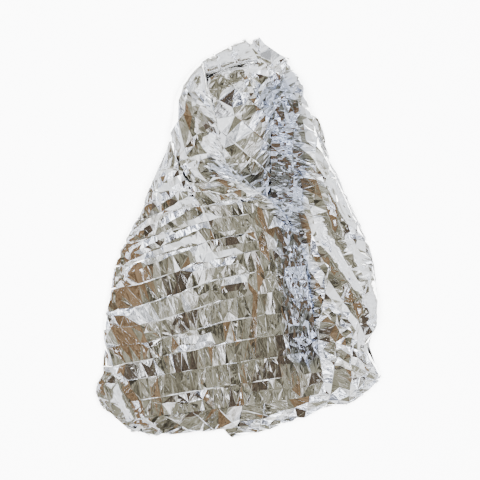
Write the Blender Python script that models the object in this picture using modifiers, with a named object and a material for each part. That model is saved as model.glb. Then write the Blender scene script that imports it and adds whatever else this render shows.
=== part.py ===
"""Emergency foil blanket: one sheet of metallised film, opened from its packet and folded as it is
wrapped round a wearer - a hood, a panel folded in from each side, the bottom hem turned under -
and then laid down flat. Metres, +Z up, the hood towards +Y. The sheet lies in the XY plane."""

import math

import bmesh
import bpy
import numpy as np
from mathutils import Vector
from mathutils.bvhtree import BVHTree

# ---------------------------------------------------------------- sizes, metres
WIDTH, LENGTH = 1.30, 2.10  # the sheet laid out
ROWS, COLUMNS = 20, 17  # packing creases: 65 mm apart across it, 124 mm along it
FILM = 0.001  # thickness of the solid that stands for the film
CORNER = Vector((-1.069, -0.092))  # the corner that ends up at the front, before it is folded over
ACROSS = Vector((0.649, 0.761)).normalized()  # from that corner along the 1.30 m edge
ALONG = Vector((0.761, -0.649)).normalized()  # and along the 2.10 m edge
ARC_STEPS = 5  # facets round a fold
SHORTEST = 0.003  # edges under this are dissolved

# The folds in the order they are made, in millimetres. Each is a straight line through two points;
# what lies on the far side of it turns over (1) or under (-1) an axis at the height given.
FOLDS = [
    # name, from x, from y, to x, to y, far x, far y, way, axis height
    ("hood rim", -199, 597, -5, 709, -180, 780, -1, -4),
    ("hood crown", -588, 348, -15, 597, -180, 780, 1, 7),
    ("far corner", 1230, -600, 1230, 0, 1500, 0, 1, 4),
    ("near corner", -600, -1272, 600, -1272, 0, -1500, 1, 4),
    ("right side", 198, 420, 423, -180, 900, 0, 1, 13),
    ("bottom hem", 414, -414, -270, -660, 0, -900, -1, -8),
    ("left side", -171, 420, -420, -480, -900, 0, 1, 26),
]
# Film gathered up or let out by hand, in millimetres, just before the fold named.
GATHERS = [
    # fold, x, y, pull x, pull y, reach
    ("right side", 357, 460, 23, 27, 200),
    ("left side", -443, 407, 12, -95, 170),
]

# Where each side lies after the folds, and where it goes as the film is bowed out or gathered in.
SIDES = [
    # height, left, left moved to, right, right moved to
    (640, -140, -90, 140, 110),
    (560, -150, -110, 144, 132),
    (520, -156, -128, 149, 136),
    (480, -167, -150, 163, 154),
    (435, -178, -172, 180, 172),
    (360, -200, -184, 208, 198),
    (270, -225, -208, 243, 226),
    (180, -249, -250, 276, 270),
    (90, -274, -282, 310, 308),
    (0, -299, -333, 345, 354),
    (-90, -324, -364, 378, 382),
    (-180, -349, -380, 412, 394),
    (-255, -369, -396, 441, 400),
    (-324, -388, -394, 466, 372),
    (-405, -411, -404, 497, 420),
    (-450, -423, -424, 513, 429),
    (-495, -437, -424, 515, 430),
    (-620, -465, -400, 515, 430),
]
ENDS = [
    # x, top, top moved to, bottom, bottom moved to
    (-480, 540, 540, -600, -500),
    (-420, 540, 540, -640, -505),
    (-366, 540, 540, -690, -555),
    (-330, 540, 540, -700, -586),
    (-270, 540, 540, -680, -597),
    (-150, 530, 530, -660, -603),
    (-105, 560, 556, -640, -606),
    (-30, 600, 594, -610, -600),
    (30, 618, 602, -590, -588),
    (78, 639, 604, -565, -572),
    (120, 610, 580, -550, -556),
    (180, 420, 440, -535, -542),
    (255, 420, 420, -510, -510),
    (330, 420, 420, -480, -500),
    (420, 420, 420, -450, -460),
]
SIDE_REACH, END_REACH = 0.26, 0.24
FINER = (-420, -370, -324, -285, 450, 490, 525, 560)  # heights with a row of vertices of their own

# Where the layers stand further apart (or closer): a line, how much, and how wide.
SWELLS = [
    # name, from x, from y, to x, to y, growth, reach
    ("front edge", 155, 110, 225, -480, 0.12, 60),
    ("hood", -60, 480, 120, 470, 0.30, 130),
    ("hood side", 120, 420, 180, 250, 0.35, 70),
    ("right fold 1", 215, 250, 330, 60, 0.30, 50),
    ("right fold 2", 200, 60, 390, -220, 0.30, 50),
    ("right fold 3", 215, -120, 350, -330, 0.30, 50),
    ("left arm", -240, 120, -330, -250, 0.15, 90),
    ("lap", -200, -330, 120, -290, 0.06, 90),
    ("front 1", -160, 170, 90, 210, 0.05, 70),
    ("front 2", -220, -80, 120, 0, 0.06, 70),
    ("hem", -280, -490, 240, -440, -0.20, 110),
]
LOFT = 0.62  # the rest, against how the folds leave it
CRUMPLE = 0.34  # how much of the gap between two layers, past TIGHT and up to ROOM, a crease takes up
TIGHT, ROOM = 0.010, 0.034
GATHERED = [(-165, 440, -110, 270, 90), (-110, 270, 130, 150, 90), (330, -300, 420, -420, 70)]
GRID = 0.025  # spacing of the heights worked out under the cloth


def sheet():
    """The flat sheet, cut along its packing creases; each vertex keeps its place on the sheet."""
    bm = bmesh.new()
    u_key = bm.verts.layers.float.new("across")
    v_key = bm.verts.layers.float.new("along")
    grid = []
    for i in range(ROWS + 1):
        for j in range(COLUMNS + 1):
            u, v = WIDTH * i / ROWS, LENGTH * j / COLUMNS
            place = CORNER + ACROSS * u + ALONG * v
            vert = bm.verts.new((place.x, place.y, 0.0))
            vert[u_key], vert[v_key] = u, v
            grid.append(vert)
    step = COLUMNS + 1
    for i in range(ROWS):
        for j in range(COLUMNS):
            k = i * step + j
            bm.faces.new((grid[k], grid[k + 1], grid[k + step + 1], grid[k + step]))
    bmesh.ops.recalc_face_normals(bm, faces=bm.faces)
    return bm


def cut(bm, faces, point, normal):
    geom = {e for f in faces for e in f.edges} | {v for f in faces for v in f.verts} | set(faces)
    done = bmesh.ops.bisect_plane(bm, geom=list(geom), dist=1e-5, plane_co=point, plane_no=normal)
    return [g for g in done["geom"] if isinstance(g, bmesh.types.BMFace) and g.is_valid]


def line_of(x0, y0, x1, y1, fx, fy):
    """A point of the fold line and the way off it that its far side lies."""
    start = Vector((x0, y0, 0)) / 1000
    run = (Vector((x1, y1, 0)) / 1000 - start).normalized()
    out = Vector((-run.y, run.x, 0))
    return start, out if (Vector((fx, fy, 0)) / 1000 - start).dot(out) > 0 else -out


def gather(bm, fold_line, x, y, pull_x, pull_y, reach):
    """Draws the film along at one place, on the far side of a fold only."""
    start, out = line_of(*fold_line)
    place, pull = Vector((x, y, 0)) / 1000, Vector((pull_x, pull_y, 0)) / 1000
    for v in bm.verts:
        beyond = min(max((v.co - start).dot(out) / 0.09, 0.0), 1.0)
        away = (Vector((v.co.x, v.co.y, 0)) - place).length / (reach / 1000)
        v.co += pull * (math.exp(-away * away) * beyond * beyond * (3 - 2 * beyond))


def fold(bm, fold_line, way, height):
    """Turns what lies beyond a line over or under an axis above or below it."""
    start, out = line_of(*fold_line)
    axis = height / 1000
    levels, bent = {}, []
    for f in bm.faces:
        if max((v.co - start).dot(out) for v in f.verts) > 0:
            level = levels.setdefault(round(f.calc_center_median().z * 500), [])
            (level if abs(f.normal.z) > 0.99 else bent).append(f)
    turns = []
    for level, near in sorted(levels.items()):
        if near:
            radius = max(abs(axis - sum(f.calc_center_median().z for f in near) / len(near)), 0.003)
            turns.append(radius)
            for j in range(ARC_STEPS + 1):
                near = cut(bm, near, start + out * (math.pi * radius * j / ARC_STEPS), out)
    bent = [f for f in bent if f.is_valid]
    for radius in turns:
        for j in range(ARC_STEPS + 1):
            bent = cut(bm, bent, start + out * (math.pi * radius * j / ARC_STEPS), out)
    for v in bm.verts:
        s = (v.co - start).dot(out)
        if s <= 1e-6:
            continue
        radius = abs(axis - v.co.z)
        phi = min(s / radius, math.pi)
        beyond = max(s - math.pi * radius, 0.0)
        shift = radius * math.sin(phi) - beyond - s
        v.co.x += out.x * shift
        v.co.y += out.y * shift
        v.co.z = axis - way * radius * math.cos(phi)


def spread(bm):
    """Moves the sides and the ends from where the folds leave them to where they lie."""
    for height in FINER:
        cut(bm, list(bm.faces), Vector((0, height / 1000, 0)), Vector((0, 1, 0)))
    sides = np.array(sorted(SIDES)) / 1000
    ends = np.array(sorted(ENDS)) / 1000
    for v in bm.verts:
        left, left_to, right, right_to = (np.interp(v.co.y, sides[:, 0], sides[:, i]) for i in (1, 2, 3, 4))
        west = min(max(1 - (v.co.x - left) / SIDE_REACH, 0.0), 1.2)
        east = min(max(1 - (right - v.co.x) / SIDE_REACH, 0.0), 1.2)
        v.co.x += (left_to - left) * west * west + (right_to - right) * east * east
        top, top_to, low, low_to = (np.interp(v.co.x, ends[:, 0], ends[:, i]) for i in (1, 2, 3, 4))
        up = min(max(1 - (top - v.co.y) / END_REACH, 0.0), 1.2)
        down = min(max(1 - (v.co.y - low) / END_REACH, 0.0), 1.2)
        v.co.y += (top_to - top) * up * up + (low_to - low) * down * down


def underside(bm):
    """Heights of the lowest film over a grid, never above it, and level wherever it is level."""
    tree = BVHTree.FromBMesh(bm)
    xs = np.arange(min(v.co.x for v in bm.verts) - 0.1, max(v.co.x for v in bm.verts) + 0.1, GRID)
    ys = np.arange(min(v.co.y for v in bm.verts) - 0.1, max(v.co.y for v in bm.verts) + 0.1, GRID)
    low = np.full((len(xs), len(ys)), np.inf)
    for i, x in enumerate(xs):
        for j, y in enumerate(ys):
            hit = tree.ray_cast(Vector((x, y, -1)), Vector((0, 0, 1)))[0]
            if hit is not None:
                low[i, j] = hit.z
    while np.isinf(low).any():
        low = np.where(np.isinf(low), window(low, 1, np.min), low)
    low = window(low, 5, np.min)
    for _ in range(2):
        low = window(low, 2, np.mean)
    return xs, ys, low


def window(field, reach, how):
    pad = np.pad(field, reach, mode="edge")
    n, m = field.shape
    shifts = range(2 * reach + 1)
    return how([pad[i : i + n, j : j + m] for i in shifts for j in shifts], axis=0)


def height_at(field, x, y):
    xs, ys, low = field
    i = min(max((x - xs[0]) / GRID, 0.0), len(xs) - 1.001)
    j = min(max((y - ys[0]) / GRID, 0.0), len(ys) - 1.001)
    a, b = int(i), int(j)
    p, q = i - a, j - b
    return (low[a, b] * (1 - p) + low[a + 1, b] * p) * (1 - q) + (low[a, b + 1] * (1 - p) + low[a + 1, b + 1] * p) * q


def nearness(x, y, x0, y0, x1, y1, reach):
    """1 on the line between two points, falling to 0 away from it."""
    dx, dy = (x1 - x0) / 1000, (y1 - y0) / 1000
    t = ((x - x0 / 1000) * dx + (y - y0 / 1000) * dy) / (dx * dx + dy * dy)
    t = min(max(t, 0.0), 1.0)
    away = math.hypot(x - x0 / 1000 - t * dx, y - y0 / 1000 - t * dy) / (reach / 1000)
    return math.exp(-away * away)


def swell(x, y):
    return LOFT + sum(growth * nearness(x, y, *line, reach) for _, *line, growth, reach in SWELLS)


def settle(bm):
    """Lets the lowest film down onto the ground and stands the rest over it."""
    field = underside(bm)
    for v in bm.verts:
        v.co.z = max(v.co.z - height_at(field, v.co.x, v.co.y), 0.0) * swell(v.co.x, v.co.y)


def noise(i, j):
    n = math.sin(i * 127.1 + j * 311.7 + 3.3) * 43758.5453
    return 2 * (n - math.floor(n)) - 1


def crumple(bm):
    """Tilts the cells between the packing creases, as far as the layers above and below allow."""
    u_key, v_key = bm.verts.layers.float["across"], bm.verts.layers.float["along"]
    tree = BVHTree.FromBMesh(bm)
    moves = []
    for v in bm.verts:
        u, w = v[u_key] / WIDTH * ROWS, v[v_key] / LENGTH * COLUMNS
        i, j = round(u), round(w)
        tilt = 0.45 * (1 if i % 2 else -1) + 0.55 * noise(i, j) if abs(u - i) < 0.02 or abs(w - j) < 0.02 else 0.0
        room = [v.co.z, ROOM]
        for way in (-1, 1):
            hit = tree.ray_cast(v.co + Vector((0, 0, 0.0008 * way)), Vector((0, 0, way)))
            if hit[0] is not None:
                room.append(hit[3])
        slack = 1 - max(nearness(v.co.x, v.co.y, *line) for line in GATHERED)
        moves.append(tilt * CRUMPLE * slack * max(min(room) - TIGHT, 0.0))
    for v, move in zip(bm.verts, moves):
        v.co.z += move


def build():
    bm = sheet()
    for name, *fold_line, way, height in FOLDS:
        for at, *pull in GATHERS:
            if at == name:
                gather(bm, fold_line, *pull)
        fold(bm, fold_line, way, height)
    spread(bm)
    settle(bm)
    crumple(bm)
    bmesh.ops.dissolve_degenerate(bm, dist=SHORTEST, edges=bm.edges)
    bmesh.ops.triangulate(bm, faces=bm.faces, quad_method="SHORT_EDGE")
    bmesh.ops.recalc_face_normals(bm, faces=bm.faces)
    print("faces", len(bm.faces))
    return bm


def centred(bm):
    """Puts the middle of the base at the origin, with the film's underside on the ground."""
    places = [v.co for v in bm.verts]
    middle = [(min(p[i] for p in places) + max(p[i] for p in places)) / 2 for i in (0, 1)]
    bmesh.ops.translate(bm, verts=bm.verts, vec=(-middle[0], -middle[1], FILM / 2))
    print("moved", [round(m, 4) for m in middle])


def main():
    for each in list(bpy.data.objects):
        bpy.data.objects.remove(each)
    bm = build()
    centred(bm)
    mesh = bpy.data.meshes.new("blanket")
    bm.to_mesh(mesh)
    bm.free()
    blanket = bpy.data.objects.new("blanket", mesh)
    collection = bpy.data.collections.new("emergency foil blanket")
    bpy.context.scene.collection.children.link(collection)
    collection.objects.link(blanket)
    film = bpy.data.materials.new("metallised film")
    film.use_nodes = True
    shader = film.node_tree.nodes["Principled BSDF"]
    shader.inputs["Base Color"].default_value = (0.78, 0.79, 0.80, 1)
    shader.inputs["Metallic"].default_value = 1.0
    shader.inputs["Roughness"].default_value = 0.15
    mesh.materials.append(film)
    solid = blanket.modifiers.new("film", "SOLIDIFY")
    solid.thickness = FILM
    solid.offset = 0.0


main()
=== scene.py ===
# %% [markdown]
# # Emergency foil blanket, laid down folded
# An emergency blanket is one sheet of plastic film, silvered on both faces and far thinner than a
# hair. It comes folded into a packet, so a grid of creases covers it for good. This lesson folds
# such a sheet the way it is wrapped round a wearer, a hood and two side panels, and lays it down.
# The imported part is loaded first, as the fixed frame that everything is made to.

# %% load the frame
import math

import bpy
import numpy as np
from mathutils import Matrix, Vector
from mathutils.bvhtree import BVHTree
from mathutils.geometry import delaunay_2d_cdt


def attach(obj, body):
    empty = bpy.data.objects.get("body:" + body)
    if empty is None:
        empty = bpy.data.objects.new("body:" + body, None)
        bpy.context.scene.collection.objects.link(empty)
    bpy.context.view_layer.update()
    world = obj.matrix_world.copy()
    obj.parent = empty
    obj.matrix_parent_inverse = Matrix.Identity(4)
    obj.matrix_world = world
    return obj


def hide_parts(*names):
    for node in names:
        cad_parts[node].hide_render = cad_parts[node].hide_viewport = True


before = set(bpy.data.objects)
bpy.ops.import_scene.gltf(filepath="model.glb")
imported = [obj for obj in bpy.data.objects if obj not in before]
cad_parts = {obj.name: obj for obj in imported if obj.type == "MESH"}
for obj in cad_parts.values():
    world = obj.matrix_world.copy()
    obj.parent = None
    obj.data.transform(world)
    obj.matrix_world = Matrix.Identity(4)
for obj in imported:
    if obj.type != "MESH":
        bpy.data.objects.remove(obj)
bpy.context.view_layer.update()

bpy.ops.object.select_all(action="DESELECT")

# %% [markdown]
# ## The flat sheet
# Real film can't stretch. So the sheet starts flat at its true size, and every later step either
# bends it or moves it a little. A plane cut into a fine grid is enough: it is cut so that the
# packing creases fall on lines of the grid, which lets them be sharp. One layer of faces with no
# wall is right here, because the film is thinner than anything the camera can see.

# %% sizes of the sheet, in metres
WIDTH, LENGTH = 1.30, 2.10
ROWS, COLUMNS = 20, 17  # packing creases: rows 65 mm apart, columns 124 mm apart
FINE_U, FINE_V = 12, 23  # faces across and along one cell between the creases
N, M = ROWS * FINE_U, COLUMNS * FINE_V  # faces across and along the whole sheet
CORNER = np.array([-1.069, -0.092])  # where the flat sheet's first corner lies
ACROSS = np.array([0.649, 0.761]) / math.hypot(0.649, 0.761)  # the way of its short side
ALONG = np.array([0.761, -0.649]) / math.hypot(0.761, 0.649)  # the way of its long side
FILM = 0.001  # the solid's wall; no point of the film lies lower than half of it
print(ROWS * COLUMNS, "cells of", WIDTH / ROWS, "by", round(LENGTH / COLUMNS, 3), "m")

# %% a plane, divided along the creases
bpy.ops.mesh.primitive_grid_add(x_subdivisions=N, y_subdivisions=M, size=1.0)
blanket = bpy.context.object
blanket.name = "foil_blanket"
flat = np.empty((len(blanket.data.vertices), 3), np.float32)
blanket.data.vertices.foreach_get("co", flat.ravel())
sheet = flat.reshape(M + 1, N + 1, 3).transpose(1, 0, 2).astype(np.float64) + [0.5, 0.5, 0.0]
U, V = sheet[..., 0] * WIDTH, sheet[..., 1] * LENGTH  # each point's own place on the sheet
P = np.empty((N + 1, M + 1, 3))
P[..., :2] = CORNER + U[..., None] * ACROSS + V[..., None] * ALONG
P[..., 2] = 0.0
print("flat sheet of", N * M, "faces", round(WIDTH / N * 1000, 2), "by", round(LENGTH / M * 1000, 2), "mm")

# %% [markdown]
# ## The folds
# A fold turns everything beyond a straight line over or under an axis. Paper is folded one fold
# at a time, through all the layers that lie there, and so is this sheet: the same small function
# is called for each line of a table. A point beyond the line first travels round a half circle,
# whose radius is its distance from the axis, and then lies flat again the other way up.

# %% the fold table, in millimetres
FOLDS = [
    # name, from x, from y, to x, to y, far x, far y, over (1) or under (-1), axis height
    ("hood rim", -199, 597, -5, 709, -180, 780, -1, -4),
    ("hood crown", -588, 348, -15, 597, -180, 780, 1, 7),
    ("far corner", 1230, -600, 1230, 0, 1500, 0, 1, 4),
    ("near corner", -600, -1272, 600, -1272, 0, -1500, 1, 4),
    ("right side", 198, 420, 423, -180, 900, 0, 1, 13),
    ("bottom hem", 414, -414, -270, -660, 0, -900, -1, -8),
    ("left side", -171, 420, -420, -480, -900, 0, 1, 26),
]
GATHERS = [
    # fold it comes before, x, y, pull x, pull y, reach
    ("right side", 357, 460, 23, 27, 200),
    ("left side", -443, 407, 12, -95, 170),
]
GATHER_START = 0.09  # metres beyond the line over which a pull grows to its full strength
print(len(FOLDS), "folds and", len(GATHERS), "gathers")


# %% fold and gather
def line_of(x0, y0, x1, y1, fx, fy):
    """A point of a fold line, and the way off it that the far side lies."""
    start = np.array([x0, y0]) / 1000
    run = np.array([x1 - x0, y1 - y0]) / math.hypot(x1 - x0, y1 - y0)
    out = np.array([-run[1], run[0]])
    return start, out if (np.array([fx, fy]) / 1000 - start) @ out > 0 else -out


def gather(line, x, y, pull_x, pull_y, reach):
    """Pulls the film beyond a fold line sideways, most of all round one point."""
    start, out = line_of(*line)
    beyond = np.clip((P[..., :2] - start) @ out / GATHER_START, 0, 1)
    away = np.linalg.norm(P[..., :2] - np.array([x, y]) / 1000, axis=2) / (reach / 1000)
    share = np.exp(-away**2) * beyond**2 * (3 - 2 * beyond)
    P[..., :2] += share[..., None] * np.array([pull_x, pull_y]) / 1000


def fold(line, way, height):
    """Turns all film beyond a line over or under an axis at this height."""
    start, out = line_of(*line)
    axis = height / 1000
    s = (P[..., :2] - start) @ out
    radius = np.maximum(np.abs(axis - P[..., 2]), 1e-6)
    phi = np.minimum(s / radius, math.pi)
    beyond = np.maximum(s - math.pi * radius, 0)
    shift = np.where(s > 1e-6, radius * np.sin(phi) - beyond - s, 0)
    P[..., 2] = np.where(s > 1e-6, axis - way * radius * np.cos(phi), P[..., 2])
    P[..., :2] += shift[..., None] * out


for name, *line, way, height in FOLDS:
    for before, *how in GATHERS:
        if before == name:
            gather(line, *how)
    fold(line, way, height)
print("the pile is", round(float(np.ptp(P[..., 2])) * 1000), "mm high")

# %% [markdown]
# ## Where the edges end up
# Straight folds give straight edges, but film is drawn in at the neck and bows out at the elbows.
# Two tables say where each side lies and where it should lie; the push fades out towards the
# middle, so only the outer part of the sheet is drawn in or let out.

# %% the edges, in millimetres
SIDES = [
    # height, left, left moved to, right, right moved to
    (640, -140, -90, 140, 110),
    (560, -150, -110, 144, 132),
    (520, -156, -128, 149, 136),
    (480, -167, -150, 163, 154),
    (435, -178, -172, 180, 172),
    (360, -200, -184, 208, 198),
    (270, -225, -208, 243, 226),
    (180, -249, -250, 276, 270),
    (90, -274, -282, 310, 308),
    (0, -299, -333, 345, 354),
    (-90, -324, -364, 378, 382),
    (-180, -349, -380, 412, 394),
    (-255, -369, -396, 441, 400),
    (-324, -388, -394, 466, 372),
    (-405, -411, -404, 497, 420),
    (-450, -423, -424, 513, 429),
    (-495, -437, -424, 515, 430),
    (-620, -465, -400, 515, 430),
]
ENDS = [
    # x, top, top moved to, bottom, bottom moved to
    (-480, 540, 540, -600, -500),
    (-420, 540, 540, -640, -505),
    (-366, 540, 540, -690, -555),
    (-330, 540, 540, -700, -586),
    (-270, 540, 540, -680, -597),
    (-150, 530, 530, -660, -603),
    (-105, 560, 556, -640, -606),
    (-30, 600, 594, -610, -600),
    (30, 618, 602, -590, -588),
    (78, 639, 604, -565, -572),
    (120, 610, 580, -550, -556),
    (180, 420, 440, -535, -542),
    (255, 420, 420, -510, -510),
    (330, 420, 420, -480, -500),
    (420, 420, 420, -450, -460),
]
SIDE_REACH, END_REACH = 0.26, 0.24  # metres from an edge at which the push ends
print(len(SIDES), "places on the sides and", len(ENDS), "on the ends")


# %% draw the edges in and out
def moved(place, table, column, column_to, reach, other, sign):
    """How far the points near one edge move: all the way at the edge, and less inside it."""
    rows = np.array(sorted(table)) / 1000
    edge = np.interp(other, rows[:, 0], rows[:, column])
    edge_to = np.interp(other, rows[:, 0], rows[:, column_to])
    near = np.clip(1 - sign * (place - edge) / reach, 0, 1.2)
    return (edge_to - edge) * near**2


x, y = P[..., 0].copy(), P[..., 1].copy()
x = x + moved(x, SIDES, 1, 2, SIDE_REACH, y, 1)
x = x + moved(x, SIDES, 3, 4, SIDE_REACH, y, -1)
y = y + moved(y, ENDS, 1, 2, END_REACH, x, -1)
y = y + moved(y, ENDS, 3, 4, END_REACH, x, 1)
print("drawn to", [round(float(np.ptp(place)), 3) for place in (x, y)], "m")

# %% the rows sag
# The film hangs from the shoulder, so the rows sag towards the left edge, and slide along it.
SAG, SAG_START, SAG_WIDTH = 0.20, -0.06, 0.24  # slope, the x that it starts at, how far it grows
FADE_FOOT, FADE_HEAD = (-0.42, 0.25), (0.34, 0.20)  # the y where it ends, and how long the fade is
EDGE_REACH = 0.25  # metres from the left edge at which the sliding ends


def left_edge(y):
    """Where the left edge lies at this height."""
    rows = np.array(sorted(SIDES)) / 1000
    return np.interp(y, rows[:, 0], rows[:, 2])


foot = np.clip((y - FADE_FOOT[0]) / FADE_FOOT[1], 0, 1)
head = np.clip((FADE_HEAD[0] - y) / FADE_HEAD[1], 0, 1)
sag = SAG * np.clip(SAG_START - x, 0, SAG_WIDTH) * (foot * head)
at_edge = np.clip(1 - (x - left_edge(y)) / EDGE_REACH, 0, 1)
x, y = x + (left_edge(y - sag) - left_edge(y)) * at_edge, y - sag
P[..., 0], P[..., 1] = x, y
print("the rows sag by up to", round(float(sag.max()) * 1000), "mm")

# %% [markdown]
# ## Down onto the ground
# The folds leave the pile floating round their axes. Straight rays sent up from below find the
# lowest film over a grid, and everything is lowered by that much, so the bottom layer lies flat.
# Half circles one inside the other make a pile that is higher than real film stands. So the pile is
# pressed to about 0.6 of its height, and a little less where film springs apart at thick folds.

# %% how much the layers stand apart
SWELLS = [
    # name, from x, from y, to x, to y, growth, reach
    ("front edge", 155, 110, 225, -480, 0.12, 60),
    ("hood", -60, 480, 120, 470, 0.30, 130),
    ("hood side", 120, 420, 180, 250, 0.35, 70),
    ("right fold 1", 215, 250, 330, 60, 0.30, 50),
    ("right fold 2", 200, 60, 390, -220, 0.30, 50),
    ("right fold 3", 215, -120, 350, -330, 0.30, 50),
    ("left arm", -240, 120, -330, -250, 0.15, 90),
    ("lap", -200, -330, 120, -290, 0.06, 90),
    ("front 1", -160, 170, 90, 210, 0.05, 70),
    ("front 2", -220, -80, 120, 0, 0.06, 70),
    ("hem", -280, -490, 240, -440, -0.20, 110),
]
LOFT = 0.62  # the height of the pile, against one of half circles
GRID = 0.025  # metres between the rays
ROUNDING, ROUND_FROM = 8, 0.0006  # passes, and metres off a smooth shape at which a point moves fully


def nearness(x, y, x0, y0, x1, y1, reach):
    """1 on the line between two points, falling to 0 away from it."""
    dx, dy = (x1 - x0) / 1000, (y1 - y0) / 1000
    t = np.clip(((x - x0 / 1000) * dx + (y - y0 / 1000) * dy) / (dx * dx + dy * dy), 0, 1)
    away = np.hypot(x - x0 / 1000 - t * dx, y - y0 / 1000 - t * dy) / (reach / 1000)
    return np.exp(-(away**2))


def between(grid, i, j):
    """A grid's values at places that lie between its points."""
    a, b = i.astype(int), j.astype(int)
    p, q = (i - a, j - b) if grid.ndim == 2 else ((i - a)[..., None], (j - b)[..., None])
    near_side = grid[a, b] * (1 - p) + grid[a + 1, b] * p
    far_side = grid[a, b + 1] * (1 - p) + grid[a + 1, b + 1] * p
    return near_side * (1 - q) + far_side * q


def window(field, reach, how):
    """The smallest, largest or mean value in a square window round each point."""
    pad = np.pad(field, reach, mode="edge")
    n, m = field.shape
    shifts = range(2 * reach + 1)
    return how([pad[i : i + n, j : j + m] for i in shifts for j in shifts], axis=0)


print(len(SWELLS), "places where the layers stand apart by more or less than the rest")

# %% the lowest film over every place
faces = np.empty(4 * N * M, np.int32)
blanket.data.polygons.foreach_get("vertices", faces)
faces = faces.reshape(-1, 4)


def listed(points):
    """The grid of points in the order of the mesh's vertices."""
    return points.transpose(1, 0, 2).reshape(-1, 3)


def tree_of(points):
    """The film as a tree of faces that rays can be sent at."""
    return BVHTree.FromPolygons(listed(points).tolist(), faces.tolist())


tree = tree_of(P)
xs = np.arange(P[..., 0].min() - 0.1, P[..., 0].max() + 0.1, GRID)
ys = np.arange(P[..., 1].min() - 0.1, P[..., 1].max() + 0.1, GRID)
low = np.full((len(xs), len(ys)), np.inf)
for i, gx in enumerate(xs):
    for j, gy in enumerate(ys):
        hit = tree.ray_cast(Vector((gx, gy, -1)), Vector((0, 0, 1)))[0]
        if hit is not None:
            low[i, j] = hit.z
under_film = np.isfinite(low)
while np.isinf(low).any():  # the places outside the film take the height of the nearest film
    low = np.where(np.isinf(low), window(low, 1, np.min), low)
low = window(low, 5, np.min)
for _ in range(2):
    low = window(low, 2, np.mean)
print("film hangs over", int(under_film.sum()), "of", low.size, "rays")


# %% settle
def height_at(x, y):
    """How high the lowest film hangs over a place."""
    i = np.clip((x - xs[0]) / GRID, 0, len(xs) - 1.001)
    j = np.clip((y - ys[0]) / GRID, 0, len(ys) - 1.001)
    return between(low, i, j)


swells = [growth * nearness(P[..., 0], P[..., 1], *line, reach) for _, *line, growth, reach in SWELLS]
loft = LOFT + sum(swells)
P[..., 2] = np.maximum(P[..., 2] - height_at(P[..., 0], P[..., 1]), 0) * loft
middle = [(P[..., i].min() + P[..., i].max()) / 2 for i in (0, 1)]
P[..., :2] -= middle
P[..., 2] += FILM / 2
for _ in range(ROUNDING):  # rounds the folds off, where they turn within a face or two
    even = np.stack([window(P[..., i], 1, np.mean) for i in range(3)], axis=2)
    inner = even[1:-1, 1:-1] - P[1:-1, 1:-1]
    off = np.linalg.norm(inner, axis=2, keepdims=True)
    P[1:-1, 1:-1] += inner * np.clip(off / ROUND_FROM, 0, 1)
print("settled:", [round(float(np.ptp(P[..., i])), 3) for i in range(3)], "m")

# %% [markdown]
# ## Creases
# Each cell between the packing creases stays nearly flat but tilts its own way. The tilts are
# heights added along the film's own normal. Film can't pass through the layer above or below it, so
# the room round each point is measured first, and nothing is meant to move more than part of the
# way there. That isn't enough everywhere: at the hood, the collar and the far side a few hundred
# pairs of small facets still cross.

# %% the room round each point
FAR = 0.045  # metres; film with no layer this near counts as free
START_OFF = 0.0008  # metres off the film at which a ray starts, so that it doesn't meet its own face


def normals_of(points):
    """The way the film faces at each point, of length one."""
    across, along = np.gradient(points, axis=0), np.gradient(points, axis=1)
    n = np.cross(across, along)
    return n / np.maximum(np.linalg.norm(n, axis=2, keepdims=True), 1e-12)


def cautious(field):
    """The smallest value round each point, evened out."""
    return window(window(field, 1, np.min), 2, np.mean)


def room_on(side):
    """How far each point may go along its normal, or against it, before it meets another layer."""
    free = np.full((N + 1, M + 1), FAR)
    for i in range(N + 1):
        for j in range(M + 1):
            way = Vector(normal[i, j]) * side
            distance = tree.ray_cast(Vector(base[i, j]) + way * START_OFF, way, FAR)[3]
            if distance is not None:
                free[i, j] = distance
    facing_ground = normal[..., 2] * side < -0.5
    return cautious(np.where(facing_ground, np.minimum(free, 1.6 * base[..., 2]), free))


rng = np.random.default_rng(7)
base = P.copy()
normal = normals_of(base)
tree = tree_of(base)
room_over, room_under = room_on(1), room_on(-1)
room = np.minimum(room_over, room_under)
print("room between the layers:", round(float(np.median(room)) * 1000, 1), "mm in the median")

# %% [markdown]
# Film isn't crushed alike all over. Over the crown of the hood and down the far side it hangs almost
# smooth, while at the neck, along the free edge and beside the face it is squeezed into fine
# gathers. One table holds those places, with how strong the tilts and the wrinkles are there.

# %% calm and crushed places, in the millimetres of the fold table
REGIONS = [
    # name, from x, from y, to x, to y, reach, cell tilt, wrinkle
    ("hood shell", -130, 500, 75, 560, 74, 0.30, 0.08),
    ("far side, upper", 270, 225, 325, 75, 50, 0.3, 0.15),
    ("far side, lower", 265, 30, 385, -210, 70, 0.3, 0.12),
    ("inside of the hood", -60, 420, 10, 330, 80, 0.6, 0.7),
    ("left flap", -400, -450, -300, -570, 80, 0.3, 0.12),
    ("left arm", -270, 170, -375, -170, 50, 1.5, 0.30),
    ("shoulder", -250, 250, -150, 330, 60, 1.5, 0.8),
    ("beside the face", 105, 480, 135, 225, 60, 1.3, 2.6),
    ("free edge", 140, 190, 190, -330, 42, 1.0, 3.2),
    ("collar", -75, 215, 130, 150, 30, 1.0, 1.8),
]
table_x, table_y = base[..., 0] + middle[0], base[..., 1] + middle[1]
tilting, wrinkling = np.ones((N + 1, M + 1)), np.ones((N + 1, M + 1))
for name, *line, reach, tilts, wrinkles in REGIONS:
    near = nearness(table_x, table_y, *line, reach)
    tilting *= 1 + (tilts - 1) * near
    wrinkling *= 1 + (wrinkles - 1) * near
weakest, strongest = round(float(wrinkling.min()), 2), round(float(wrinkling.max()), 2)
print("wrinkles are", weakest, "to", strongest, "times the common height")

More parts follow.
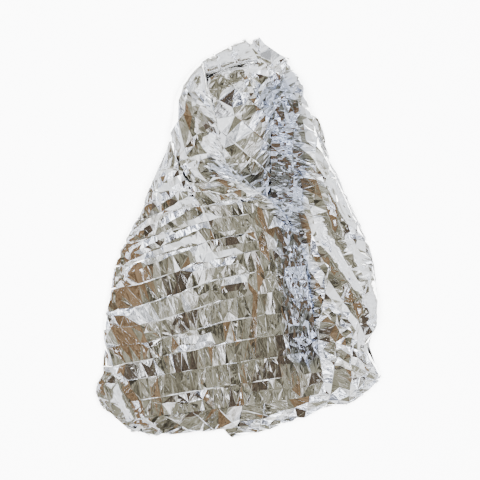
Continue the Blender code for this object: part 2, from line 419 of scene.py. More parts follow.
# %% [markdown]
# The packing creases alternate: one row of them stands up and the next dips, as the film was
# folded to and fro. On top of that every crossing keeps its own height. Between the crossings a
# cell is a slightly twisted plane, or two planes that meet in a diagonal crease.

# %% the cells tilt
TILT = 0.0062  # metres, the height of a crossing of packing creases


def noise(i, j):
    """A number between -1 and 1 that is always the same for one crossing."""
    n = math.sin(i * 127.1 + j * 311.7 + 3.3) * 43758.5453
    return 2 * (n - math.floor(n)) - 1


def crossing_height(i, j):
    """How high a crossing stands, as a share of TILT: rows go up and down by turns."""
    return 0.30 * (1 if i % 2 else -1) + 0.75 * noise(i, j)


corner = np.array([[crossing_height(i, j) for j in range(COLUMNS + 1)] for i in range(ROWS + 1)])
row = np.minimum(np.arange(N + 1) // FINE_U, ROWS - 1)
column = np.minimum(np.arange(M + 1) // FINE_V, COLUMNS - 1)
row, column = row[:, None] + 0 * column, column + 0 * row[:, None]
a, b = U / WIDTH * ROWS - row, V / LENGTH * COLUMNS - column  # each point's place in its own cell
h00, h10 = corner[row, column], corner[row + 1, column]
h01, h11 = corner[row, column + 1], corner[row + 1, column + 1]
twisted = (h00 * (1 - a) + h10 * a) * (1 - b) + (h01 * (1 - a) + h11 * a) * b
rising = np.where(
    a > b,
    h00 + a * (h10 - h00) + b * (h11 - h10),
    h00 + b * (h01 - h00) + a * (h11 - h01),
)
falling = np.where(
    a + b < 1,
    h00 + a * (h10 - h00) + b * (h01 - h00),
    h11 + (1 - a) * (h01 - h11) + (1 - b) * (h10 - h11),
)
kind = rng.choice(3, size=(ROWS, COLUMNS), p=[0.4, 0.3, 0.3])[row, column]
tilt = np.choose(kind, [twisted, rising, falling]) * TILT * tilting
print("the corners of cells rise or dip by up to", round(float(np.abs(tilt).max()) * 1000, 1), "mm")

# %% [markdown]
# The largest creases are no part of the packing grid: they come from how the film is held and
# pulled. Each is a ridge with flat flanks, or a trough where its height is negative, laid along a
# line. Only film that lies open to the sky gets them, so the layers underneath stay as they are.
# The same film also settles a little onto the layer below it.

# %% the long creases, in the millimetres of the fold table
LONG_CREASES = [
    # name, from x, from y, to x, to y, half width, height
    ("far side 1", 192, -66, 336, -276, 30, 9),
    ("far side 2", 246, -15, 396, -234, 24, 8),
    ("far side 3", 285, 54, 414, -180, 24, 8),
    ("far side 4", 234, 225, 300, 45, 22, 8),
    ("far side 5", 270, 150, 336, 15, 16, 6),
    ("far side 6", 180, 120, 246, -66, 22, 7),
    ("far side 7", 225, -150, 330, -280, 20, -6),
    ("tail", 250, -330, 390, -400, 22, 9),
    ("arm 1", -345, 6, -120, 129, 20, 8),
    ("arm 2", -354, -48, -120, 54, 18, 7),
    ("arm 3", -363, -90, -132, 0, 18, 6),
    ("shoulder 1", -280, 110, -150, 190, 22, 8),
    ("shoulder 2", -240, 190, -130, 240, 16, 6),
    ("shoulder 3", -190, 270, -135, 190, 16, 7),
    ("chest 1", -80, 205, 30, 130, 16, 6),
    ("chest 2", -60, 120, 130, 150, 18, 6),
    ("flap", -390, -400, -300, -560, 26, -7),
    ("front cell 1", -150, -72, -10, -48, 24, 6),
    ("front cell 2", -80, 2, 5, 12, 22, 6),
    ("front cell 3", -180, -318, -85, -302, 22, 6),
    ("front cell 4", -60, -140, 20, -128, 20, 5),
    ("hood rim", -140, 489, 60, 548, 46, 9),
    ("hood 1", -10, 520, 60, 505, 12, 5),
    ("hood 2", 20, 500, 60, 400, 14, 6),
    ("hood 3", 95, 540, 150, 400, 20, 8),
    ("hood 4", 130, 470, 150, 330, 14, -5),
    ("hood 5", 165, 440, 200, 300, 18, 7),
]
print(len(LONG_CREASES), "long creases")

# %% which film lies open, and how high the long creases stand on it
START_UP = 0.0015  # metres over the film at which a ray to the sky starts
open_above = np.zeros((N + 1, M + 1))  # 1 where nothing lies over the film
for i in range(N + 1):
    for j in range(M + 1):
        start = Vector(base[i, j]) + Vector((0, 0, START_UP))
        open_above[i, j] = tree.ray_cast(start, Vector((0, 0, 1)))[0] is None
open_above = cautious(open_above)
long_crease = np.zeros((N + 1, M + 1))
for name, x0, y0, x1, y1, half, height in LONG_CREASES:
    dx, dy = x1 - x0, y1 - y0
    t = ((table_x * 1000 - x0) * dx + (table_y * 1000 - y0) * dy) / (dx * dx + dy * dy)
    away = np.abs((table_x * 1000 - x0) * dy - (table_y * 1000 - y0) * dx) / math.hypot(dx, dy)
    ends = np.clip(np.minimum(t, 1 - t) * 4 + 0.4, 0, 1)
    long_crease += height / 1000 * ends * np.clip(1 - away / half, 0, 1)
print(round(float(open_above.mean()) * 100), "% of the film lies open")

# %% both, as far as there is room
SETTLING = 0.35  # the share of the room below that open film sinks by
face_up = normal[..., 2] > 0
room_above = np.where(face_up, room_over, room_under)
room_below = np.where(face_up, room_under, room_over)
# film may sink further than it rises, and open film may use more of the room than hidden film
above = (0.24 + 0.20 * open_above) * room_above
below = (0.42 + 0.22 * open_above) * room_below
most_up = np.where(face_up, above, below)  # along the normal
most_down = np.where(face_up, below, above)  # against it
sunk = SETTLING * open_above * np.where(room_below < 0.9 * FAR, room_below, 0)
wanted = tilt + long_crease * open_above - sunk
most = np.minimum(np.abs(tilt).max(), (above + below) / 2)
# where one side has too little room, the whole tilt moves towards the other
shifted = wanted + np.clip(most - below, 0, None) - np.clip(most - above, 0, None)
lift = np.clip(shifted, -below, above)
print("the film is lifted by up to", round(float(lift.max()) * 1000, 1), "mm")

# %% [markdown]
# ## The film finds its length
# So far the points were pushed about without asking whether film can do it. Where the sheet was
# drawn in, neighbours are now nearer together than on the flat sheet. Each such pair is pushed
# apart again, over and over, towards its true distance, but by a tenth at the most, and the film
# to spare buckles into sharp gathers by itself. Points a few faces apart are held too, so that the
# film stays stiff except at a sharp crease.

# %% lengths
P = base + normal * (lift * normal[..., 2])[..., None]
HU, HV = WIDTH / N, LENGTH / M  # one face of the fine grid, when flat
MOST_GATHER = 1.10  # a pair is let out to this many times the distance that the folds left, at most


def size_of(v):
    """The length of each arrow in a grid of arrows."""
    return np.sqrt(np.einsum("ijk,ijk->ij", v, v))


def links(points):
    """The gaps between neighbours: across, along, and along both diagonals of each face."""
    return (
        points[1:] - points[:-1],
        points[:, 1:] - points[:, :-1],
        points[1:, 1:] - points[:-1, :-1],
        points[1:, :-1] - points[:-1, 1:],
    )


print("a face is", round(HU * 1000, 2), "by", round(HV * 1000, 2), "mm when flat")

# %% staying clear of the other layers
SIDEWAYS = 0.006  # metres that a point may slide off its place


def keep_clear(points):
    """Brings each point back into the room that it has."""
    away = points - base
    out = np.einsum("ijk,ijk->ij", away, normal)
    side = away - normal * out[..., None]
    side *= np.minimum(1, np.minimum(SIDEWAYS, room) / np.maximum(size_of(side), 1e-9))[..., None]
    points[...] = base + side + normal * np.clip(out, -most_down, most_up)[..., None]
    np.maximum(points[..., 2], FILM / 2, out=points[..., 2])


keep_clear(P)
flat_lengths = HU, HV, math.hypot(HU, HV), math.hypot(HU, HV)
rest_u, rest_v, rest_down, rest_up = (
    np.maximum(size_of(now), np.minimum(length, size_of(before) * MOST_GATHER))
    for now, before, length in zip(links(P), links(base), flat_lengths)
)
print("lowest point", round(float(P[..., 2].min()) * 1000, 2), "mm above the ground")

# %% pulling pairs together, and holding a stretch straight
STIFF, HINGE = 0.8, 0.05  # how hard a stretch is held, and how much shorter it is when it gives way


def pull(first, second, rest, give):
    """Moves both points of each pair, so that they come nearer to the distance they should have."""
    apart = second - first
    apart *= (0.5 * give * (1 - rest / np.maximum(size_of(apart), 1e-9)))[..., None]
    first += apart
    second -= apart


def chords(points, rests, step):
    """How far apart two points a few faces apart should be, for the film to keep its shape."""
    edges = size_of(points[1:] - points[:-1])
    arc, rest = (sum(e[k : len(e) - step + 1 + k] for k in range(step)) for e in (edges, rests))
    return size_of(points[step:] - points[:-step]) / arc * rest


def straighten(points, total, free, step):
    """Keeps the shape of the film over a few faces, unless it is sharply creased there."""
    for k in range(2 * step):
        first, second = points[k : -step : 2 * step], points[k + step :: 2 * step]
        rest = total[k :: 2 * step]
        apart = second - first
        length = size_of(apart)
        bend = 1 - length / rest
        give = STIFF * np.exp(-((bend / HINGE) ** 2)) * free[k : -step : 2 * step] * (bend > 0)
        apart *= (0.5 * give * (1 - rest / np.maximum(length, 1e-9)))[..., None]
        first += apart
        second -= apart


def uncreased(count, cell, step):
    """1 for each stretch of this many faces that no packing crease lies strictly inside, else 0."""
    index = np.arange(count)
    return np.where((index + step - 1) // cell > index // cell, 0.0, 1.0)[:, None]


turned = P.transpose(1, 0, 2)
stretches = []
for step in (2, 4):
    free_u, free_v = uncreased(N + 1, FINE_U, step), uncreased(M + 1, FINE_V, step)
    stretches.append((P, chords(P, rest_u, step), free_u * np.ones(M + 1), step))
    stretches.append((turned, chords(turned, rest_v.T, step), free_v * np.ones(N + 1), step))
print(len(stretches), "sets of stretches are held")

# %% relax
ROUNDS = 60
for _ in range(ROUNDS):
    for k in (0, 1):
        pull(P[k:-1:2], P[k + 1 :: 2], rest_u[k::2], 1.0)
        pull(P[:, k:-1:2], P[:, k + 1 :: 2], rest_v[:, k::2], 1.0)
        pull(P[k:-1:2, :-1], P[k + 1 :: 2, 1:], rest_down[k::2], 0.5)
        pull(P[k:-1:2, 1:], P[k + 1 :: 2, :-1], rest_up[k::2], 0.5)
    for points, total, free, step in stretches:
        straighten(points, total, free, step)
    keep_clear(P)
for label, gaps, length in zip(("across", "along"), links(P), flat_lengths):
    wrong = np.abs(size_of(gaps) / length - 1)
    print("lengths", label, "are", round(float(wrong.mean()) * 100, 1), "% off on average")

# %% [markdown]
# ## Facets
# Crushed foil isn't wavy. It breaks into flat facets that meet in straight, sharp lines, so the
# fine grid is the wrong mesh to end with: its faces would cut every slanting crease into steps. It
# now only says where the film lies. Points are strewn over the sheet instead, far apart where the
# film is calm, close where it is crushed or turns round a fold, and joined into triangles. Every
# packing crease and every long crease is kept as a chain of edges.

# %% how far apart the points are
CELL_U, CELL_V = WIDTH / ROWS, LENGTH / COLUMNS
NEAREST, FARTHEST = 0.0052, 0.06  # metres between two points
MOST_TURN, MOST_TURN_CALM = 0.4, 0.2  # radians the film may turn from one point to the next


def in_each_cell(least, most):
    """A random number for each packing cell, given to all the film in it."""
    return rng.uniform(least, most, (ROWS, COLUMNS))[row, column]


bent = np.zeros((N + 1, M + 1))
bent[1:-1] = size_of(base[2:] - 2 * base[1:-1] + base[:-2]) / HU**2
bent_along = size_of(base[:, 2:] - 2 * base[:, 1:-1] + base[:, :-2]) / HV**2
bent[:, 1:-1] = np.maximum(bent[:, 1:-1], bent_along)
bent = window(window(bent, 1, np.max), 1, np.mean)
by_crush = in_each_cell(0.015, 0.034) / np.clip(wrinkling, 0.4, 4)
by_bend = np.where(wrinkling < 0.5, MOST_TURN_CALM, MOST_TURN) / np.maximum(bent, 1e-6)
spacing = np.clip(np.minimum(by_crush, by_bend), NEAREST, FARTHEST)
print("points are", [round(float(d) * 1000, 1) for d in (spacing.min(), spacing.max())], "mm apart")


# %% strewing points
def at(field, u, v):
    """A field of the fine grid at any places of the sheet."""
    i, j = np.clip(u / WIDTH * N, 0, N - 1e-6), np.clip(v / LENGTH * M, 0, M - 1e-6)
    return between(field, i, j)


class Points:
    """Points on the sheet, none strewn too near another, each with a height of its own."""

    def __init__(self, spacing):
        self.spacing = spacing
        # calm facets are longer across the rows
        self.stretched = 1 + 0.5 * np.clip((spacing - 0.006) / 0.006, 0, 1)
        self.taken = np.zeros(spacing.shape, bool)
        self.places, self.heights, self.chains = [], [], []

    def add(self, u, v, height):
        """Adds one point, marks the film round it as taken, and gives the point's number."""
        i, j = min(round(u / HU), N), min(round(v / HV), M)
        tall = self.spacing[i, j] * self.stretched[i, j] / HU
        wide = self.spacing[i, j] / self.stretched[i, j] ** 0.5 / HV
        i0, i1 = max(i - int(tall), 0), i + int(tall) + 1
        j0, j1 = max(j - int(wide), 0), j + int(wide) + 1
        rows, columns = np.ogrid[i0 : min(i1, N + 1), j0 : min(j1, M + 1)]
        self.taken[i0:i1, j0:j1] |= ((rows - i) / tall) ** 2 + ((columns - j) / wide) ** 2 < 1
        self.places.append((u, v))
        self.heights.append(height)
        return len(self.places) - 1

    def strew(self):
        """Adds points in a random order until no place is left free."""
        for k in rng.permutation((N + 1) * (M + 1)):
            i, j = divmod(int(k), M + 1)
            if self.taken[i, j]:
                continue
            loose = 0 < i < N and 0 < j < M and self.spacing[i, j] > 0.007
            most = 0.4 if loose else 0.0  # faces that a point may lie off the grid
            u, v = HU * (i + rng.uniform(-most, most)), HV * (j + rng.uniform(-most, most))
            self.add(u, v, rng.normal())

    def join(self, squeeze):
        """Joins the points: the corners, their heights, the triangles and the edges.

        Where two chains cross there is a new corner. The sheet is squeezed while the triangles
        are chosen, because they come out longer across it that way.
        """
        places = [Vector((u * squeeze, v)) for u, v in self.places]
        made = delaunay_2d_cdt(places, self.chains, [], 0, 1e-7)
        corners = np.array([(p.x / squeeze, p.y) for p in made[0]])
        heights = np.array([self.heights[ids[0]] if ids else 0.0 for ids in made[3]])
        return corners, heights, np.array(made[2]), made[1]


print("the sheet's", (N + 1) * (M + 1), "places are free for points")

# %% points on the packing creases
# A packing crease is a pair of lines a few millimetres apart: a narrow strip that tilts sharply.
STRIP, STRIP_TILT = 0.0034, 0.04  # metres between the two lines, and how strongly the strip tilts


def packing_crease(here, there, di, dj, up, inner):
    """Points from one crossing to the next, and beside them the strip's second line."""
    u0, v0 = coarse.places[here]
    length = CELL_U * di + CELL_V * dj
    last, beside, t = here, here, 0.0
    while True:
        k = min(round((u0 + t * di) / HU), N), min(round((v0 + t * dj) / HV), M)
        stretched = coarse.stretched[k] if di else coarse.stretched[k] ** -0.5
        step = spacing[k] * stretched * rng.uniform(0.6, 1.5)
        t += step
        if t > length - 0.5 * step:
            break
        height = rng.uniform(-0.4, 1.4)
        fresh = coarse.add(u0 + t * di, v0 + t * dj, height)
        coarse.chains.append((last, fresh))
        last = fresh
        if inner and spacing[k] > 0.008:
            height += up * rng.uniform(-0.2, 1.0) * STRIP_TILT / spacing[k]
            fresh = coarse.add(u0 + t * di + STRIP * dj, v0 + t * dj + STRIP * di, height)
            coarse.chains.append((beside, fresh))
            beside = fresh
    coarse.chains.append((last, there))
    if beside != here:
        coarse.chains.append((beside, there))


coarse = Points(spacing)
crossings = {}
for i in range(ROWS + 1):
    for j in range(COLUMNS + 1):
        crossings[i, j] = coarse.add(CELL_U * i, CELL_V * j, rng.uniform(0.2, 1.4))
for (i, j), here in crossings.items():
    inner = 0 < i < ROWS and 0 < j < COLUMNS
    for di, dj in ((0, 1), (1, 0)):
        there = crossings.get((i + di, j + dj))
        if there is not None:
            up = (1 if (i * dj + j * di) % 2 else -1) * rng.uniform(0.2, 1.0)
            packing_crease(here, there, di, dj, up, inner)
print(len(coarse.places), "points and", len(coarse.chains), "pieces of crease")

# %% points on the long creases
CREASE_STEP, CREASE_OFF = 16, 8  # millimetres between two points, and how far one may lie off the line
LONGEST_PIECE = 0.036  # metres between two points that are still joined
covered = 1000 * (open_above < 0.5)  # puts hidden film out of reach


def long_crease_line(x0, y0, x1, y1, aside):
    """A chain of points on open film, along a line that lies this far beside the crease."""
    run = math.hypot(x1 - x0, y1 - y0)
    last, ax, ay = None, -aside * (y1 - y0) / run, aside * (x1 - x0) / run
    for t in np.linspace(0, 1, int(run / CREASE_STEP) + 1):
        off_x = table_x * 1000 - x0 - ax - t * (x1 - x0)
        off_y = table_y * 1000 - y0 - ay - t * (y1 - y0)
        off = np.hypot(off_x, off_y) + covered
        i, j = np.unravel_index(off.argmin(), off.shape)
        if off[i, j] > CREASE_OFF:
            last = None
            continue
        fresh = coarse.add(U[i, j], V[i, j], 0.0)
        if last is not None and math.dist(coarse.places[last], coarse.places[fresh]) < LONGEST_PIECE:
            coarse.chains.append((last, fresh))
        last = fresh


for name, *line, half, height in LONG_CREASES:
    for aside in (-half, 0, half):  # the foot of one flank, the top, and the foot of the other
        long_crease_line(*line, aside)
print(len(coarse.places), "points and", len(coarse.chains), "pieces of crease")

# %% the large facets
CRUSHED = 1.4  # film with more wrinkling than this is broken up everywhere
SLOPE, FINE_SLOPE = 0.038, 0.030  # how high a corner rises, for each metre between the points
SHARE, FINE_SHARE = 0.8, 0.35  # of the room that a corner may use


def outward_at(u, v):
    """The way the film faces at any places of the sheet, of length one."""
    out = at(normal, u, v)
    return out / np.maximum(np.linalg.norm(out, axis=1, keepdims=True), 1e-9)


coarse.strew()
large_places, own, large_facets, edges = coarse.join(0.7)
u, v = large_places.T
broken = np.maximum(0.22 + 1.1 * in_each_cell(0, 1) ** 2, 1.3 * (wrinkling > CRUSHED))
rise = own * SLOPE * at(broken, u, v) * at(spacing, u, v) * np.clip(at(wrinkling, u, v), 0.12, 3.0)
outward = outward_at(u, v)
risen = np.einsum("ijk,ijk->ij", P - base, normal)
deepest, highest = -SHARE * at(most_down + risen, u, v), SHARE * at(most_up - risen, u, v)
rise = np.clip(rise * np.sign(outward[:, 2]), deepest, highest)
large_spots = at(P, u, v) + outward * rise[:, None]
print(len(large_facets), "large facets, up to", round(float(np.abs(rise).max()) * 1000, 1), "mm high")

# %% [markdown]
# Each large facet is crinkled again on a smaller scale. The second set of points starts flat on the
# large facets, and every edge between two of those stays an edge, so they keep their sharp borders.

# %% points for the small facets
fineness = in_each_cell(0.0062, 0.0105)
strength = np.maximum(0.2 + 0.8 * in_each_cell(0, 1) ** 2, 1.2 * (wrinkling > CRUSHED))
fine = Points(np.minimum(fineness, spacing))
for place in large_places:
    fine.add(*place, 0.0)
fine.chains = [tuple(edge) for edge in edges]
fine.strew()
places, own, facets, _ = fine.join(0.75)
u, v = places.T
print(len(facets), "small facets on", len(places), "points")

# %% each point's place on its large facet
flat_tree = BVHTree.FromPolygons([(x, y, 0.0) for x, y in large_places], large_facets.tolist())


def facet_under(x, y):
    """The number of the large facet that a place of the sheet lies on."""
    return flat_tree.find_nearest((min(max(x, 0), WIDTH), min(max(y, 0), LENGTH), 0.0))[2]


corners = large_facets[np.array([facet_under(x, y) for x, y in places])]
(u0, v0), (u1, v1), (u2, v2) = (large_places[corners[:, k]].T for k in range(3))
area = (u1 - u0) * (v2 - v0) - (u2 - u0) * (v1 - v0)
area = np.where(np.abs(area) < 1e-12, 1e-12, area)
second = ((u - u0) * (v2 - v0) - (v - v0) * (u2 - u0)) / area
third = ((v - v0) * (u1 - u0) - (u - u0) * (v1 - v0)) / area
second, third = np.clip(second, 0, 1), np.clip(third, 0, 1)
spots = large_spots[corners[:, 0]] * (1 - second - third)[:, None]
spots = spots + large_spots[corners[:, 1]] * second[:, None] + large_spots[corners[:, 2]] * third[:, None]
print("there are", round(len(facets) / len(large_facets), 1), "small facets on each large one")

# %% the small facets
rise = own * FINE_SLOPE * at(fine.spacing, u, v) * at(strength, u, v) * np.clip(at(wrinkling, u, v), 0.1, 3)
gap = FINE_SHARE * at(room, u, v)
rise = np.clip(rise, -gap, gap)
spots += outward_at(u, v) * rise[:, None]
spots[:, 2] = np.maximum(spots[:, 2], FILM / 2)
print("points move by up to", round(float(np.abs(rise).max()) * 1000, 1), "mm")

# %% the sheet's mesh, made of the facets
SMOOTH = 0.45  # calm film bends softly and is shaded smooth; crushed film breaks, and stays flat
sheet_mesh = bpy.data.meshes.new("foil_blanket")
sheet_mesh.from_pydata(spots.tolist(), [], facets.tolist())
grid_mesh = blanket.data
blanket.data = sheet_mesh
bpy.data.meshes.remove(grid_mesh)
point_of = np.empty(len(sheet_mesh.loops), np.int32)
sheet_mesh.loops.foreach_get("vertex_index", point_of)
uv = sheet_mesh.uv_layers.new(name="film")
uv.data.foreach_set("uv", (places[point_of] / LENGTH).astype(np.float32).ravel())
crushed = sheet_mesh.attributes.new("crushed", "FLOAT", "POINT")
crushed.data.foreach_set("value", at(wrinkling, u, v).astype(np.float32))
sheet_mesh.update()
bpy.ops.object.select_all(action="DESELECT")
blanket.select_set(True)
bpy.context.view_layer.objects.active = blanket
bpy.ops.object.shade_flat()
smooth = at(wrinkling, u, v)[facets].mean(axis=1) < SMOOTH
sheet_mesh.polygons.foreach_set("use_smooth", smooth)
print("blanket", [round(v, 3) for v in blanket.dimensions])

# %% [markdown]
# ## Shader maths in plain Python
# A pattern is a sum of a few textures and masks. Wiring each sum by hand hides it, so one small
# class stands for a wire that carries a number: adding two of them adds the Math node.


# %% a wire
class Wire:
    """What comes out of a socket; sums of wires are Math nodes."""

    def __init__(self, socket):
        self.socket = socket

    def math(self, operation, *others, clamp=False):
        node = self.socket.id_data.nodes.new("ShaderNodeMath")
        node.operation, node.use_clamp = operation, clamp
        for slot, value in zip(node.inputs, (self, *others)):
            feed(slot, value)
        return Wire(node.outputs[0])

    def __add__(self, other):
        return self.math("ADD", other)

    def __radd__(self, other):
        return self.math("ADD", other)

    def __sub__(self, other):
        return self.math("SUBTRACT", other)

    def __rsub__(self, other):
        return (self * -1).math("ADD", other)

    def __mul__(self, other):
        return self.math("MULTIPLY", other)

    def __rmul__(self, other):
        return self.math("MULTIPLY", other)

    def __abs__(self):
        return self.math("ABSOLUTE")

    def ramp(self, start, end):
        """0 below start, 1 above end, and straight between (start may be the larger one)."""
        return ((self - start) * (1 / (end - start))).math("MULTIPLY", 1, clamp=True)


# %% a node tree
def feed(slot, value):
    """Gives a socket a wire or a constant."""
    if isinstance(value, Wire):
        slot.id_data.links.new(value.socket, slot)
    else:
        slot.default_value = value


class Tree:
    """A node tree, with one method that adds any node."""

    def __init__(self, owner):
        owner.use_nodes = True
        self.tree = owner.node_tree

    def node(self, kind, settings=None, sockets=None, out=0):
        node = self.tree.nodes.new("ShaderNode" + kind)
        for name, value in (settings or {}).items():
            setattr(node, name, value)
        for name, value in (sockets or {}).items():
            feed(node.inputs[name], value)
        return Wire(node.outputs[out])

    def mix(self, share, below, colour):
        """A share of one colour laid over another."""
        return self.node("Mix", {"data_type": "RGBA"}, {0: share, 6: below, 7: colour}, out=2)


print("a wire can be added, scaled and ramped")

# %% [markdown]
# ## The film
# Silvered plastic is a mirror with almost no colour of its own, so one metallic shader with hardly
# any roughness makes it. Wrinkles too fine for facets are a bump: two sets of streaks, laid out on
# the flat sheet so that they follow it round every fold, and stronger the more the film is crushed.
# Much crushed film also looks duller and a little bluer, from shade in its gathers and the cool light that
# they mirror; a second tint paints that shade and bluish sheen into its colour.

# %% material
# the second tint is painted shade and a painted bluish sheen for crushed film, not a colour of the film
SILVER_TINT, CRUSHED_SHADE_AND_SHEEN_TINT = (0.92, 0.92, 0.91, 1), (0.50, 0.54, 0.64, 1)
film = bpy.data.materials.new("silvered film")
look = Tree(film)
shader = film.node_tree.nodes["Principled BSDF"]
shader.inputs["Metallic"].default_value = 0.999
shader.inputs["Roughness"].default_value = 0.06
on_sheet = look.node("UVMap", {"uv_map": "film"})


def streaks(scale, detail):
    """Small wrinkles, long one way and short the other: a height between 0 and 1."""
    place = look.node("Mapping", sockets={"Vector": on_sheet, "Scale": scale})
    grain = {"Vector": place, "Scale": 1.0, "Detail": detail, "Roughness": 0.55}
    return look.node("TexNoise", {"noise_dimensions": "2D"}, grain)


crush = look.node("Attribute", {"attribute_name": "crushed"}, out="Fac")
# where the film is crushed, its base colour is darkened and blued: painted shade and painted bluish sheen
feed(shader.inputs["Base Color"], look.mix(crush.ramp(1.05, 1.9), SILVER_TINT, CRUSHED_SHADE_AND_SHEEN_TINT))
bumps = (streaks((40, 130, 1), 1.0) * 0.0003 + streaks((120, 420, 1), 0.0) * 0.00007) * crush
bump = look.node("Bump", sockets={"Height": bumps, "Strength": 1.0, "Distance": 1.0})
feed(shader.inputs["Normal"], bump)
blanket.data.materials.clear()
blanket.data.materials.append(film)
print("the film's material has", len(film.node_tree.nodes), "nodes")

# %% [markdown]
# ## The studio
# A mirror shows only what stands round it, so the studio is laid out for its reflection. Film that
# lies flat shows what hangs over it, which is painted here as a ceiling: patches of olive, khaki
# and pale tones in the middle, warm brown to one side, dark towards the foot, and white towards the
# head and the other side. Farther out it turns cool, and small lamps are strewn all over it. The
# walls are khaki and pale, and plain haze where the floor ends. It could be modelled as a painted
# dome, but in the world's shader each zone is one line of maths on the direction of a ray.

# %% floor
bpy.ops.mesh.primitive_plane_add(size=14)  # metres, so that its edge lies far outside the picture
floor = bpy.context.object
floor.name = "floor"
paper = bpy.data.materials.new("pale paper")
paper.use_nodes = True
paper_shader = paper.node_tree.nodes["Principled BSDF"]
paper_shader.inputs["Base Color"].default_value = (0.92, 0.92, 0.92, 1)
paper_shader.inputs["Roughness"].default_value = 0.9
floor.data.materials.append(paper)
print("floor", [round(v, 1) for v in floor.dimensions])


# %% light panels
def light_panel(name, place, tilt, side, brightness):
    """A square of light that no mirror shows; its power grows with its area."""
    bpy.ops.object.light_add(type="AREA", location=place, rotation=[math.radians(t) for t in tilt])
    light = bpy.context.object
    light.name = name
    light.data.shape = "SQUARE"
    light.data.size = side
    light.data.energy = brightness * math.pi * side * side
    light.visible_glossy, light.visible_camera = False, False
    print(name, "of", round(light.data.energy), "watts")


light_panel("overhead fill", (0.0, 0.0, 4.6), (0, 0, 0), 5.0, 40.0)
light_panel("side light", (-2.6, 1.6, 2.6), (-32, -42, 0), 1.6, 6.0)

# %% the ways that rays leave, and what varies with them
world = bpy.data.worlds.new("studio")
bpy.context.scene.world = world
studio = Tree(world)
direction = studio.node("TexCoord")
axes = studio.node("SeparateXYZ", sockets={"Vector": direction}).socket.node
wx, wy, wz = (Wire(axes.outputs[i]) for i in range(3))
up = wz.math("MAXIMUM", 0.2)


def patches(scale, detail):
    """Cloudy patches; a larger scale makes smaller ones."""
    sockets = {"Vector": direction, "Scale": scale, "Detail": detail, "Roughness": 0.6}
    return studio.node("TexNoise", sockets=sockets)


panels, bits = patches(7.0, 3.0), patches(26.0, 2.0)
shift = (panels - 0.5) * 0.22  # makes the borders of the zones uneven
cx, cy = wx.math("DIVIDE", up), wy.math("DIVIDE", up)  # a place on a ceiling one unit up
tone = panels * 0.75 + bits * 0.25
print("the directions and patches take", len(world.node_tree.nodes), "nodes")

# %% the colours
SHADOW, OLIVE, KHAKI = (0.035, 0.03, 0.02, 1), (0.19, 0.173, 0.12, 1), (0.42, 0.40, 0.30, 1)
PUTTY, SILVER = (0.95, 0.92, 0.87, 1), (2.5, 2.5, 2.65, 1)
BROWN, RUST = (0.15, 0.095, 0.045, 1), (0.42, 0.285, 0.17, 1)
DARK, UMBER = (0.045, 0.036, 0.026, 1), (0.16, 0.12, 0.085, 1)
GREY, WHITE, BLAZE = (0.56, 0.58, 0.62, 1), (2.15, 2.2, 2.3, 1), (5.0, 5.1, 5.5, 1)
INK, LAVENDER, COOL = (0.05, 0.052, 0.07, 1), (0.36, 0.38, 0.47, 1), (1.0, 1.1, 1.4, 1)
MILK, GLARE = (1.55, 1.60, 1.70, 1), (8.0, 8.3, 9.0, 1)
PALE, HAZE = (1.6, 1.6, 1.6, 1), (3.0, 3.0, 3.0, 1)
over = studio.mix  # over(share, below, colour)

ceiling = SHADOW
for start, end, colour in (
    (0.41, 0.46, OLIVE),
    (0.46, 0.52, KHAKI),
    (0.55, 0.59, PUTTY),
    (0.59, 0.63, SILVER),
):
    ceiling = over(tone.ramp(start, end), ceiling, colour)
white = over(tone.ramp(0.45, 0.53), GREY, WHITE)
white = over(bits.ramp(0.585, 0.625), white, BLAZE)
cool = over(bits.ramp(0.40, 0.44), INK, LAVENDER)
cool = over(bits.ramp(0.47, 0.54), cool, COOL)
cool = over(bits.ramp(0.56, 0.60), cool, GLARE)
print("the patches so far take", len(world.node_tree.nodes), "nodes")

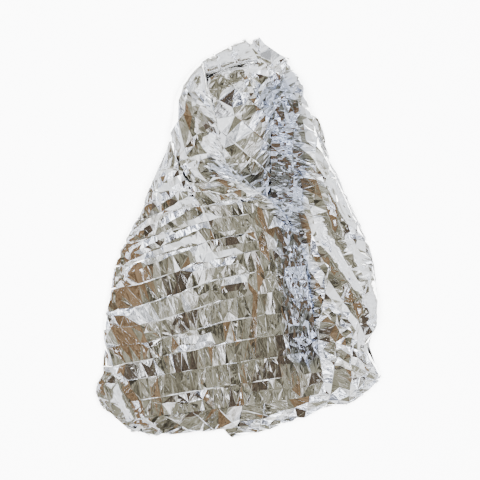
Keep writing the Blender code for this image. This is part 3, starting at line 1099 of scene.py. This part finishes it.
# %% the zones of the ceiling
brown = over(bits.ramp(0.43, 0.58), BROWN, RUST)
ceiling = over((-1.0 * cx - 0.25 * cy + shift).ramp(0.38, 0.44), ceiling, brown)
dark = over(bits.ramp(0.40, 0.60), DARK, UMBER)
ceiling = over((0.9 * cx - cy + shift).ramp(0.44, 0.52), ceiling, dark)
ceiling = over((cy + 0.25 * cx + shift).ramp(0.38, 0.42), ceiling, white)
ceiling = over((-1.0 * cx + 1.2 * cy + shift).ramp(1.02, 1.08), ceiling, white)
ceiling = over((cx + 0.3 * cy + shift).ramp(0.33, 0.37), ceiling, white)
beyond_foot = over(bits.ramp(0.40, 0.60), KHAKI, white)
ceiling = over((-1.0 * cy + shift).ramp(0.66, 0.70), ceiling, beyond_foot)
spread = cx * cx + cy * cy
ceiling = over((spread + 0.5 * cx + shift).ramp(0.75, 0.95), ceiling, cool)
ceiling = over((spread + shift).ramp(0.80, 1.0), ceiling, cool)
calm_white = over(panels.ramp(0.40, 0.60), MILK, WHITE)
ceiling = over((cy - 0.8 * abs(cx) + shift).ramp(0.50, 0.60), ceiling, calm_white)
ceiling = over((cx - 0.8 * abs(cy - 0.15) + shift).ramp(0.44, 0.52), ceiling, calm_white)
lamps = {"Vector": direction, "Scale": 13.0}
from_lamp = studio.node("TexVoronoi", {"feature": "F1"}, lamps, out="Distance")
ceiling = over(from_lamp.ramp(0.13, 0.10), ceiling, BLAZE)
print("the ceiling takes", len(world.node_tree.nodes), "nodes")

# %% the walls
wall = over(tone.ramp(0.47, 0.51), KHAKI, PALE)
room_colour = over(wz.ramp(0.55, 0.38), ceiling, wall)
room_colour = over(wz.ramp(0.08, 0.02), room_colour, HAZE)  # plain where the floor ends
sky = world.node_tree.nodes["Background"]
feed(sky.inputs["Color"], room_colour)
sky.inputs["Strength"].default_value = 1.0
print("the studio takes", len(world.node_tree.nodes), "nodes")

# %% [markdown]
# ## The camera
# It hangs over the middle and looks straight down. A long lens from high up keeps the outline true,
# because the top of the pile is then seen at nearly the same scale as the ground.

# %% camera
PLACE = (0.005, -0.008, 3.46)
LENS, SENSOR = 85, 36  # millimetres
bpy.ops.object.camera_add(location=PLACE, rotation=(0, 0, 0))
camera = bpy.context.object
camera.data.lens = LENS
camera.data.sensor_width = SENSOR
bpy.context.scene.camera = camera
print("the picture is", round(PLACE[2] * SENSOR / LENS, 2), "m wide at the floor")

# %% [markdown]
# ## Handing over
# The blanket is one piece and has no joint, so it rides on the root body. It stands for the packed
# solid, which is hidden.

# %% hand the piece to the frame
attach(blanket, "root")
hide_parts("blanket")
